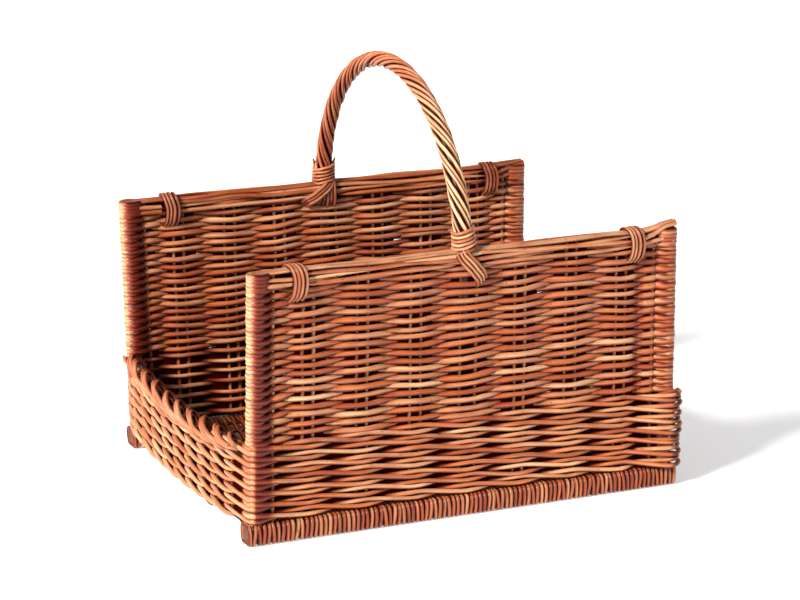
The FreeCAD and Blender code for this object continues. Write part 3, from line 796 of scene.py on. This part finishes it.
def rim_binding(side, sign, end, hand, material, seed):
    """Four rods looped over the rim, drifting along it as they go round."""
    node = f"{side}_{end}_rim_binding"
    low, high = box_mm(node)
    bundle = Bundle(f"{node}_rods", seed, sides=10)
    draw = bundle.draw
    centre, bottom = (low + high) / 2, low[2]
    half = (high - low)[1] / 2 - 2.3
    top = RIM_TOP + 0.6
    drift = 1.4
    for number in range(4):
        radius = BINDING_ROD * draw.uniform(0.9, 1.08)
        x = centre[0] + 2.5 - hand * 0.5 + BINDING_SHIFT.get((side, end), 0) + (number - 1.5) * 4.5
        points = [
            (x - drift * 1.6, -half * 0.4, bottom + 2), (x - drift * 0.6, -half * 0.95, bottom + 9),
            (x + drift * 0.3, -half, bottom + 22), (x - drift * 1.2, -half * 0.75, top - 3.5),
            (x - drift * 1.4, 0, top), (x + drift * 0.2, half * 0.75, top - 3.5),
            (x + drift * 1.3, half * 1.0, bottom + 22), (x - drift * 0.1, half * 0.95, bottom + 9),
            (x - drift * 1.5, half * 0.45, bottom + 2),
        ]
        path = through(points, 2.5)
        path[:, 0] += draw.normal() * 0.3
        path[:, 1] = sign * (SIDE + path[:, 1])
        bundle.rod(path, radius, up=X, taper=0.08, deep=between_rods)
    bundle.build(material, "willow_rim", node)


def between_rods(points, outward):
    """Crevice shade on the flanks of rods that lie side by side along the basket."""
    return 1.3 * abs(outward[..., 0]) ** 2.2


# Base and foot rails


def rail_turn(x, hand, radius, tilt, flipped):
    """Points of a weaver's turn round a foot rail, from the rail's inner side."""
    rail_y = -(RAIL_LOW[1] + RAIL_HIGH[1]) / 2
    rail_z = RAIL_HIGH[2] / 2
    side, tall = 13 - radius, rail_z - radius
    ring = [
        (-side - 6, -0.55 * tall), (-side * 0.8, -0.97 * tall), (0, -tall), (side * 0.84, -tall),
        (side, -tall * 0.74), (side, tall * 0.74), (side * 0.84, tall), (0, tall),
        (-side * 0.8, tall * 0.95),
    ]
    if flipped:
        ring = [(a, -b) for a, b in ring]
    return [(x + tilt * b / tall, hand * (rail_y + a), rail_z + b) for a, b in ring]


def base():
    """Weavers that run from rail to rail over and under the base sticks, and round each rail.
    Beyond the end walls they only wrap the rails, and two more rods close each end."""
    count = int((RAIL_HIGH[0] - RAIL_LOW[0] - 4) / WRAP_PITCH)
    parts = enumerate(("left", "middle", "right"))
    bundles = [Bundle(f"base_{part}_weave", 70 + i, sides=7) for i, part in parts]
    for number in range(count + 1):
        bundle = bundles[min(2, 3 * number // (count + 1))]
        draw = bundle.draw
        x = (number - count / 2) * WRAP_PITCH
        radius = WRAPPER * draw.uniform(0.93, 1.0)
        tilt = draw.normal() * 0.7 + 0.2
        turns = [rail_turn(x, hand, radius, tilt, number % 2) for hand in (-1, 1)]
        if abs(x) > WALL_PLANE - 8:
            for turn in turns:
                ring = turn[1:]
                bundle.rod(through(ring + ring[:2], 3.0), radius, up=X, deep=between_rods)
            continue
        mat = []
        for stick, y in enumerate(end_places()):
            over = 1 if (stick + number) % 2 else -1
            mat.append((x, y, STICK_HEIGHT + over * (STICK + radius)))
        path = through(turns[0] + mat + turns[1][::-1], 4.0)
        # Inside the walls the weavers are drawn darker and redder: painted shade inside the basket.
        inside = np.clip((SIDE - 16 - abs(path[:, 1])) / 6, 0, 1)
        tone = (0.7 * inside, 0.2, 1.0)
        bundle.rod(path, radius, up=X, taper=0.06, tone=tone, deep=between_rods)
    for hand in (-1, 1):
        for number, gap in enumerate((5.5, 10.5)):
            points = []
            for stick, y in enumerate(end_places()):
                over = 1 if (stick + number) % 2 or stick in (0, END_STAKES - 1) else -1
                x = hand * (WALL_PLANE + bow_at(y) - gap)
                points.append((x, y, STICK_HEIGHT + over * (STICK + FILLER)))
            bundles[1 + hand].rod(through(points, 4.0), FILLER, up=X, deep=between_rods)
    nodes = ("base_weave", "front_foot_wrapping", "back_foot_wrapping")
    for i, bundle in enumerate(bundles):
        bundle.build(WRAP, "willow_wrapping", *(nodes if i == 0 else ()))


# Handle


def arch_point(angle):
    """Centre of the handle at an angle of its arch, from 0 at the back panel to pi at the
    front, with the directions out of the arch and across it."""
    outward = Y * math.cos(angle) + ARCH_UP * math.sin(angle)
    across = np.cross(outward, -Y * math.sin(angle) + ARCH_UP * math.cos(angle))
    foot_shift = FOOT_SHIFT * abs(math.cos(angle)) ** 3
    return np.array([-foot_shift, 0, ARCH_HEIGHT]) + ARCH_RADIUS * outward, outward, across


def leg_centre(sign, z):
    """Centre of the handle's front (-1) or back (1) leg at a height."""
    angle = math.asin(min(1, max(0, (z - ARCH_HEIGHT) / ARCH_RADIUS)))
    return arch_point(angle if sign > 0 else math.pi - angle)[0]


def arch_angle(points):
    """The arch's angle nearest to points."""
    return np.arctan2((points - [0, 0, ARCH_HEIGHT]) @ ARCH_UP, points[..., 1])


def rope_slim(angle):
    """The handle is slimmer at its top, and slimmer on its back leg than on its front."""
    return 0.95 - 0.12 * np.sin(angle) - 0.05 * np.cos(angle)


def front_share(angle):
    """Rises from 0 on the arch to 1 on the front leg."""
    return np.clip((angle - 1.7) / 0.8, 0, 1)


def rope_depth(points, outward):
    """Crevice shade in the grooves of the roped handle, deepest on its front leg."""
    angle = arch_angle(points)
    radial = Y * np.cos(angle)[..., None] + ARCH_UP * np.sin(angle)[..., None]
    shift = FOOT_SHIFT * abs(np.cos(angle)) ** 3
    centre = np.array([0, 0, ARCH_HEIGHT]) + ARCH_RADIUS * radial - X * shift[..., None]
    away = np.linalg.norm(points - centre, axis=-1)
    front = front_share(angle)
    surface = ROPE_REACH * rope_slim(angle) + 1.15 + 0.6 * front
    return np.clip((surface - away) / (1.4 - 0.75 * front), 0, 1)


def rope_painted_light_and_shade(path):
    """The roping is redder on the handle's back leg, as painted shade, and paler on its front
    leg, as painted light.
    """
    angle = arch_angle(path)
    front = front_share(angle)
    back = np.clip((1.5 - angle) / 0.8, 0, 1)
    return 0.65 + 0.2 * front, 0.1 + 1.15 * front, 0.6 - 0.8 * front + 0.55 * back


def core_depth(points, outward):
    """The bow inside the roping lies wholly in its shade."""
    return np.ones(points.shape[:2])


def handle():
    """Strands twisted round the bow from panel to panel, and the bow itself."""
    bundle = Bundle("handle_rope", 90, sides=10)
    draw = bundle.draw
    strands, steps = 9, 200
    start, stop = math.radians(-1), math.radians(181)
    for strand in range(strands):
        radius = ROPE_ROD * draw.uniform(0.92, 1.08)
        proud = draw.normal() * 0.2
        group = 0.10 * math.sin(strand * math.tau / 3.3)
        phase = math.tau * strand / strands + group
        drift = draw.random() * math.tau
        path = []
        for angle in np.linspace(start, stop, steps):
            centre, outward, across = arch_point(angle)
            turn = phase + (angle - start) * ARCH_RADIUS / ROPE_LEAD * math.tau
            turn += 0.06 * math.sin(3 * angle + drift)
            reach = (ROPE_REACH + proud) * rope_slim(angle)
            path.append(centre + reach * (math.cos(turn) * outward + math.sin(turn) * across))
        path = np.array(path)
        # Painted light on the front leg and painted shade on the back leg, through tone.
        bundle.rod(path, radius, up=X, taper=0.15, tone=rope_painted_light_and_shade(path), deep=rope_depth)
    bundle.build(ROPE, "willow_handle", "handle_roping")
    core = Bundle("handle_core", 89)
    legs = []
    for sign in (1, -1):
        foot = leg_centre(sign, ARCH_HEIGHT)
        legs.append([(foot[0], sign * SIDE, z) for z in (190, 230, 265)])
    arch = [arch_point(angle)[0] for angle in np.linspace(0.05, math.pi - 0.05, 40)]
    path = through(legs[0] + arch + legs[1][::-1], 6.0)
    core.rod(path, 5.0, up=X, taper=0.05, tips=(20, 20), deep=core_depth)
    core.build(CORE, "willow_handle", "handle_bow")


# Collars at the handle's feet: how far they sit down from the rim's top, and their slant
COLLARS = {"front": (-5.0, 7.0), "back": (-3.0, 6.0)}
# Their tips: degrees round the leg, height, flare
COLLAR_TIPS = {
    "front": [(350, 25, 1.05)],
    "back": [(165, 26, 1.05), (195, 30, 1.2), (330, 27, 1.1), (20, 31, 1.15)],
}


def collar(side, sign, seed):
    """A band of rods wound aslant round the handle's foot, with tips that stick up from it."""
    bundle = Bundle(f"handle_{side}_collar_rods", seed, sides=10)
    draw = bundle.draw
    drop, slant = COLLARS[side]
    foot = RIM_TOP + drop
    tone = (0.6, 0.25, 0.95) if side == "back" else None
    for number in range(6 if side == "front" else 5):
        radius = COLLAR_ROD * draw.uniform(0.9, 1.06)
        points = []
        for step in range(16):
            turn = math.tau * step / 12 + math.radians(170)
            z = foot + 3 + number * 4.1 + slant * 0.5 * math.cos(turn)
            z += draw.normal() * 0.25
            x, y, _ = leg_centre(sign, z)
            reach = 11.2 + 0.4 * math.sin(2 * turn + number) + 0.03 * step
            points.append((x + reach * math.cos(turn), y - reach * math.sin(turn), z))
        bundle.rod(through(points, 2.5), radius, taper=0.1, tone=tone, deep=under_side)
    for turn, height, flare in COLLAR_TIPS[side]:
        swing = math.radians(turn)
        points = []
        for part, out in ((0.1, 0.8), (0.4, 0.86), (0.75, 0.95), (1.0, flare)):
            z = foot + height * part
            x, y, _ = leg_centre(sign, z)
            points.append((x + 11 * out * math.cos(swing), y - 11 * out * math.sin(swing), z))
        bundle.rod(through(points, 2.5), 1.8, up=X, tips=(0, 9))
    bundle.build(ROPE, "willow_handle", f"handle_{side}_collar")


# The tails' routes: x, outward, height from the rim's top
TAIL_ROUTES = {
    "front": [
        (-8, 8, -2), (-6, 11, -7), (-2, 12.8, -12), (3, 13.2, -17), (9, 12.8, -24),
        (15, 11.0, -31), (18, 6.0, -37),
    ],
    "back": [
        (5, 9, 3), (2, 11.0, -3), (-3, 12.4, -8), (-9, 12.8, -12), (-16, 12.6, -17),
        (-23, 11.0, -21), (-27, 6.0, -25),
    ],
}


def tails(side, sign, seed):
    """Rod ends that leave the collar, cross the rim slantwise and tuck into the weave. The
    back ones have four more behind them, which go straight down."""
    bundle = Bundle(f"handle_{side}_tail_rods", seed, sides=10)
    draw = bundle.draw
    route = TAIL_ROUTES[side]
    count = 4 if side == "front" else 3
    along = np.array([route[-2][0] - route[1][0], route[-2][2] - route[1][2]], float)
    along /= np.linalg.norm(along)
    foot_x = leg_centre(sign, ARCH_HEIGHT)[0]
    for number in range(count):
        shift = (number - (count - 1) / 2) * 4.1
        radius = TAIL_ROD * draw.uniform(0.93, 1.07)
        points = []
        for x, out, z in route:
            across = foot_x + x - shift * along[1] + draw.normal() * 0.25
            points.append((across, sign * SIDE - out, RIM_TOP + z + shift * along[0]))
        bundle.rod(through(points, 2.5), radius, up=X, taper=0.1, deep=between_rods)
    if side == "back":
        for number in range(4):
            x = foot_x + (number - 1.5) * 4.4 + 2
            low = RIM_TOP - 30 - 3 * (number % 2)
            drops = ((9, RIM_TOP), (10.5, RIM_TOP - 9), (9.8, low + 8), (5, low))
            path = through([(x, sign * SIDE - out, z) for out, z in drops], 2.5)
            bundle.rod(path, 2.1, up=X, tone=(0.8, 0.4, 0.8), deep=between_rods)
    bundle.build(ROPE, "willow_handle", f"handle_{side}_tails")


# Stakes


def crooked_stakes(node, places, low, high, seed):
    """The stakes of one CAD group as slightly crooked rods."""
    bundle = Bundle(f"{node}_rods", seed)
    draw = bundle.draw
    for x, y in places:
        points = []
        for z in np.linspace(low, high, 8):
            points.append((x + draw.normal() * 0.3, y + draw.normal() * 0.2, z))
        radius = STAKE * draw.uniform(0.84, 0.94)
        bundle.rod(through(points, 8.0), radius, up=X, taper=0.1, deep=stake_depth)
    bundle.build(STAKES, "willow_stake", node)


def stake_depth(points, outward):
    """Crevice shade on a stake's flanks, between the weavers."""
    facing = np.where(abs(points[..., 0]) > POST + 2, abs(outward[..., 0]), abs(outward[..., 1]))
    return 1.25 - 1.5 * facing**2


def all_stakes():
    """The stakes of both sides and both end walls."""
    for number, (side, sign) in enumerate(SIDES):
        low, high = box_mm(f"{side}_stakes")
        places = []
        for x, half, _ in uprights()[1:-1]:
            places += [(x + end * half, sign * SIDE) for end in ((-1, 1) if half else (0,))]
        crooked_stakes(f"{side}_stakes", places, low[2], high[2], 110 + number)
    for number, (end, hand) in enumerate(ENDS):
        top = box_mm(f"{end}_end_stakes")[1][2] - 14
        places = [(hand * (WALL_PLANE + bow_at(y)), y) for y in end_places()]
        crooked_stakes(f"{end}_end_stakes", places, WALL_FOOT, top, 120 + number)


def sticks():
    """Corner posts, foot rail sticks and base sticks."""
    for side, sign in SIDES:
        posts = Bundle(f"{side}_posts", 130 + sign, sides=12)
        for end, hand in ENDS:
            low, high = box_mm(f"{side}_{end}_post")
            heights = np.linspace(low[2] + 2, high[2] - 5, 9)
            points = [(hand * POST, sign * SIDE, z) for z in heights]
            posts.rod(points, POST_RADIUS, up=X, taper=0.02)
        posts.build(STAKES, "willow_stake", f"{side}_left_post", f"{side}_right_post")
        rail = Bundle(f"{side}_rail_stick", 134 + sign, sides=12)
        low, high = box_mm(f"{side}_foot_stick")
        y, z = (low[1] + high[1]) / 2, (low[2] + high[2]) / 2
        points = [(x, y, z) for x in np.linspace(low[0] + 3, high[0] - 3, 30)]
        radius = (high[2] - low[2]) / 2
        # The stick and its cut ends are drawn dark with CORE and end_shade: painted shade inside
        # the wrapping.
        rail.rod(points, radius, flat=1.14, tall=0.94, taper=0.02, end_shade=0.88)
        rail.build(CORE, "willow_stake", f"{side}_foot_stick")
    base_sticks = Bundle("base_stick_rods", 138)
    names = [f"base_stick_{number + 1}" for number in range(END_STAKES)]
    for name in names:
        low, high = box_mm(name)
        y = (low[1] + high[1]) / 2
        points = []
        for x in np.linspace(low[0], high[0], 12):
            points.append((x, y + base_sticks.draw.normal() * 0.3, STICK_HEIGHT))
        base_sticks.rod(through(points, 12.0), STICK, taper=0.1)
    base_sticks.build(STAKES, "willow_stake", *names)


# Stage


def look_at(thing, target):
    """Turns a camera or light to face a point."""
    thing.rotation_euler = (Vector(target) - thing.location).to_track_quat("-Z", "Y").to_euler()


def direction(bearing, height):
    """The unit vector towards a bearing in the floor's plane, raised by an angle."""
    flat = math.cos(height)
    return Vector((flat * math.cos(bearing), flat * math.sin(bearing), math.sin(height)))


def stage():
    """Camera, pale floor, studio light and sun."""
    scene = bpy.context.scene
    azimuth, elevation = math.radians(-24.1), math.radians(14.45)
    camera = bpy.data.objects.new("camera", bpy.data.cameras.new("camera"))
    camera.data.lens, camera.data.sensor_width = 126.0, 36.0
    camera.location = (-1.226, -2.756, 0.968)
    look_at(camera, camera.location - direction(azimuth - math.pi / 2, elevation))
    scene.collection.objects.link(camera)
    scene.camera = camera

    reach = 12.0
    floor_mesh = bpy.data.meshes.new("floor")
    corners = [(-reach, -reach, 0), (reach, -reach, 0), (reach, reach, 0), (-reach, reach, 0)]
    floor_mesh.from_pydata(corners, [], [(0, 1, 2, 3)])
    floor = bpy.data.objects.new("floor", floor_mesh)
    floor.location.z = -0.0005
    paper = Nodes("floor_paper")
    finish = {
        "Base Color": (0.85, 0.85, 0.85, 1), "Roughness": 0.9, "Specular IOR Level": 0.0,
        "Emission Color": (1.0, 1.0, 1.0, 1), "Emission Strength": 0.45,
    }
    for name, value in finish.items():
        paper.shader.inputs[name].default_value = value
    floor_mesh.materials.append(paper.material)
    scene.collection.objects.link(floor)

    world = bpy.data.worlds.new("studio")
    world.use_nodes = True
    sky = world.node_tree.nodes["Background"].inputs
    sky["Color"].default_value, sky["Strength"].default_value = (1.0, 1.0, 1.0, 1), 0.34
    scene.world = world
    sun = bpy.data.objects.new("key", bpy.data.lights.new("key", "SUN"))
    sun.data.energy, sun.data.angle, sun.data.color = 6.4, math.radians(12), (1.0, 0.98, 0.94)
    sun.location = 3 * direction(math.radians(180 + 22), math.radians(30))
    look_at(sun, (0, 0, 0))
    scene.collection.objects.link(sun)
    scene.view_settings.view_transform = "Standard"


side_panel("front", -1, WEAVE, 10)
side_panel("back", 1, BACK_WEAVE, 20)
tray()
end_border("left", -1, 50)
end_border("right", 1, 51)
for number, (side, sign, material) in enumerate((("front", -1, RIM), ("back", 1, BACK_RIM))):
    rim(side, sign, material, 60 + number)
    for end, hand in ENDS:
        rim_binding(side, sign, end, hand, material, 64 + 2 * number + hand)
    collar(side, sign, 94 + number)
base()
handle()
tails("front", -1, 97)
tails("back", 1, 98)
all_stakes()
sticks()
webs()
stage()
